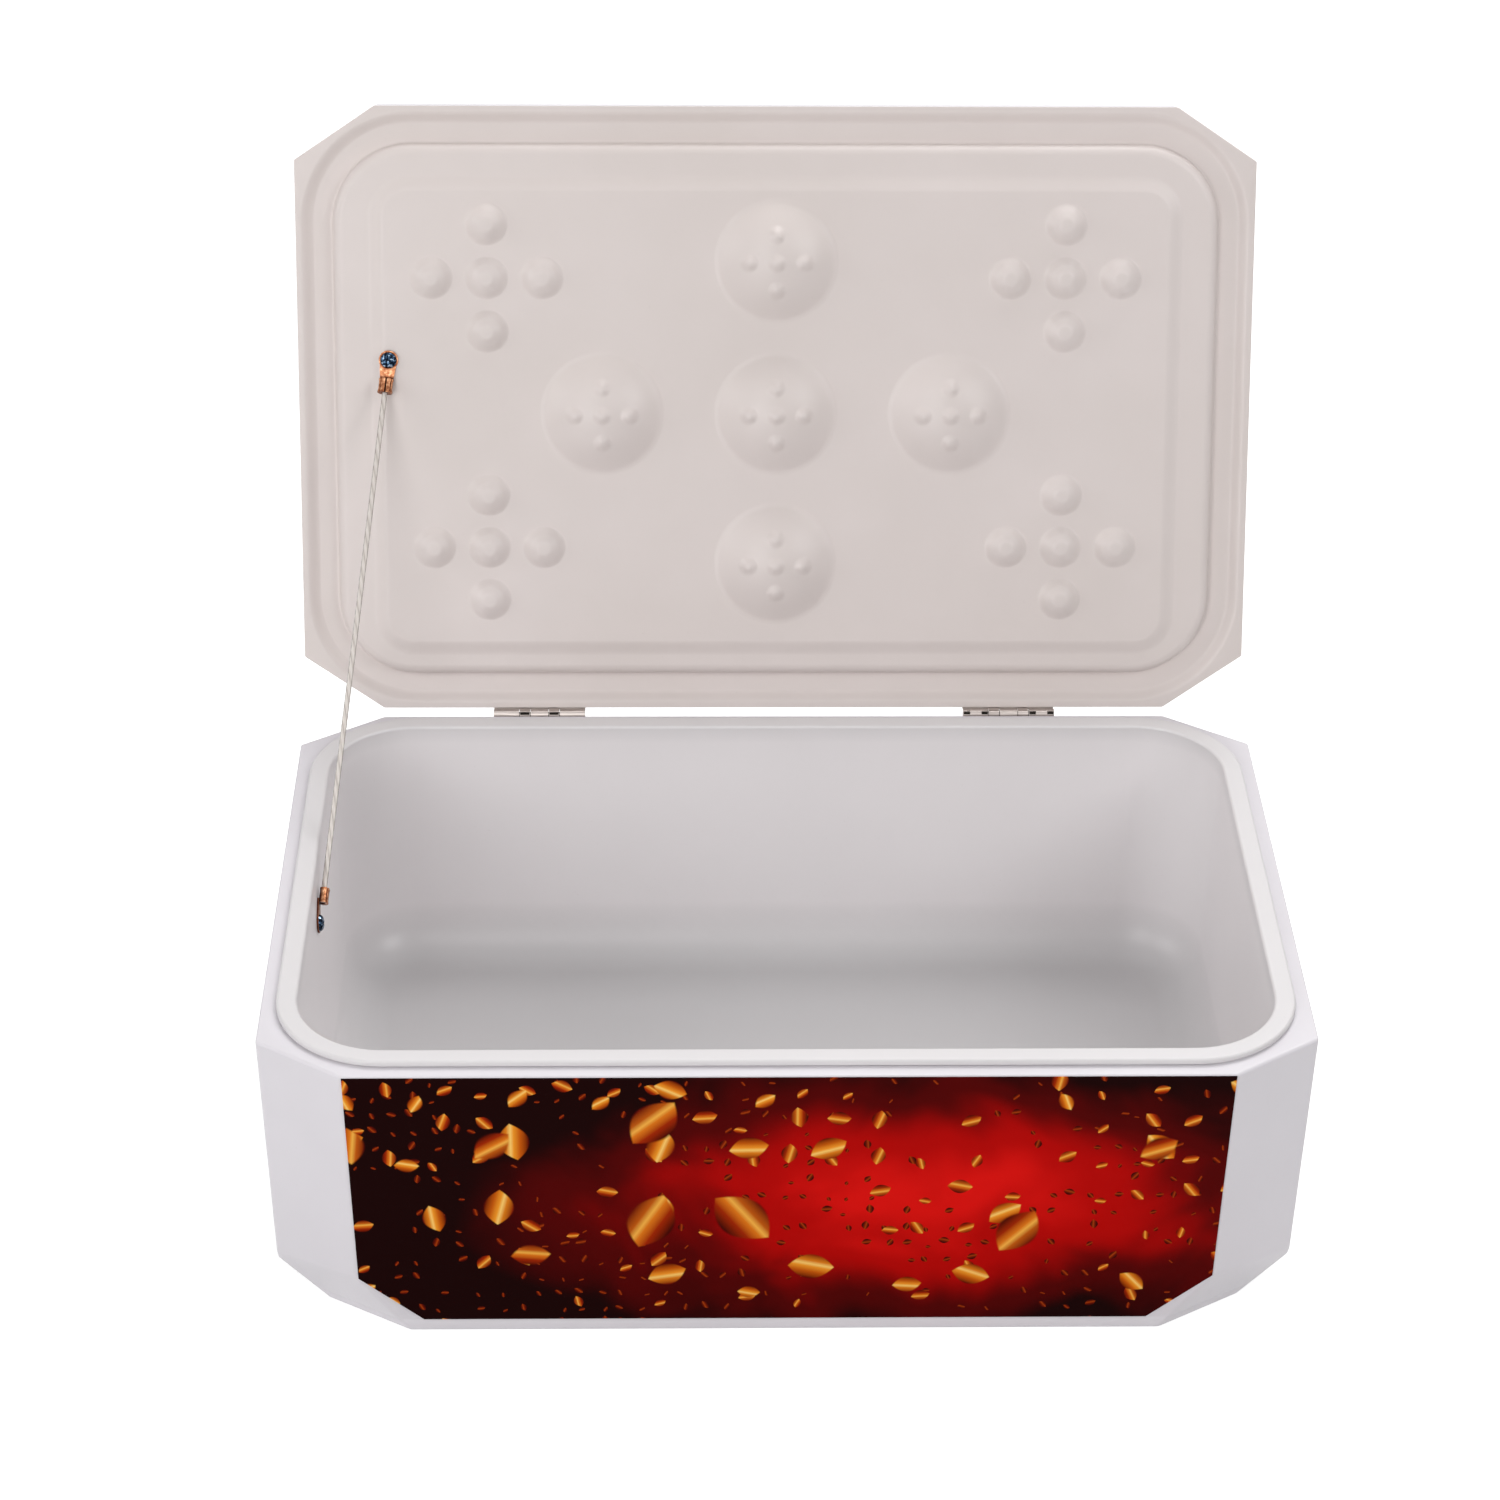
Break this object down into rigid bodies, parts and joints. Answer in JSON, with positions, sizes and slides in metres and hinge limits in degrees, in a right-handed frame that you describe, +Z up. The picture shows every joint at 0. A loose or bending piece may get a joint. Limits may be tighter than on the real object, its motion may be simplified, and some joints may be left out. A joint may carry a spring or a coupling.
{
  "type": "picnic cooler",
  "caption": "Hard-sided picnic cooler with a faceted body, an insulated tub, a printed front and a hinged lid held open by a wire lanyard.",
  "frame": {"origin": "middle of the underside, on the ground", "axes": "+X along the length to the right as seen from the front, +Y to the rear where the hinges are, +Z up"},
  "size_m": [0.72, 0.6572, 0.652],
  "materials": {
    "shell_plastic": "moulded white plastic, semi-gloss",
    "liner_plastic": "moulded pale grey plastic, semi-gloss",
    "lid_plastic": "moulded warm white plastic, satin",
    "printed_sheet": "printed film, gloss",
    "foam": "rigid foam, matt",
    "backing_wood": "sawn",
    "nylon": "moulded",
    "copper": "stamped, tarnished copper colour",
    "zinc_plate": "bright blue zinc",
    "wire_rope": "stranded wire, clear coated",
    "stainless": "stamped stainless"
  },
  "bodies": {
    "base": {"base_foam": "foam", "base_tray": "shell_plastic", "front_panel": "printed_sheet", "hinge_left_base_block": "backing_wood", "hinge_left_base_leaf": "stainless", "hinge_left_base_screw_1": "stainless", "hinge_left_base_screw_2": "stainless", "hinge_left_base_screw_3": "stainless", "hinge_left_pin": "stainless", "hinge_right_base_block": "backing_wood", "hinge_right_base_leaf": "stainless", "hinge_right_base_screw_1": "stainless", "hinge_right_base_screw_2": "stainless", "hinge_right_base_screw_3": "stainless", "hinge_right_pin": "stainless", "inner_liner": "liner_plastic", "lanyard_cable": "wire_rope", "lanyard_wall_insert": "nylon", "lanyard_wall_lug": "copper", "lanyard_wall_screw": "zinc_plate", "outer_shell": "shell_plastic"},
    "lid": {"hinge_left_lid_block": "backing_wood", "hinge_left_lid_leaf": "stainless", "hinge_left_lid_screw_1": "stainless", "hinge_left_lid_screw_2": "stainless", "hinge_left_lid_screw_3": "stainless", "hinge_right_lid_block": "backing_wood", "hinge_right_lid_leaf": "stainless", "hinge_right_lid_screw_1": "stainless", "hinge_right_lid_screw_2": "stainless", "hinge_right_lid_screw_3": "stainless", "lanyard_lid_insert": "nylon", "lanyard_lid_lug": "copper", "lanyard_lid_screw": "zinc_plate", "lid_cover": "shell_plastic", "lid_foam": "foam", "lid_pan": "lid_plastic"}
  },
  "joints": [
    {"name": "lid_hinge", "type": "hinge", "parent": "base", "child": "lid", "pos_m": [0, 0.2334, 0.2188], "axis": [1, 0, 0], "range_deg": [0, 109.9], "deforming": ["lanyard_cable"]}
  ]
}
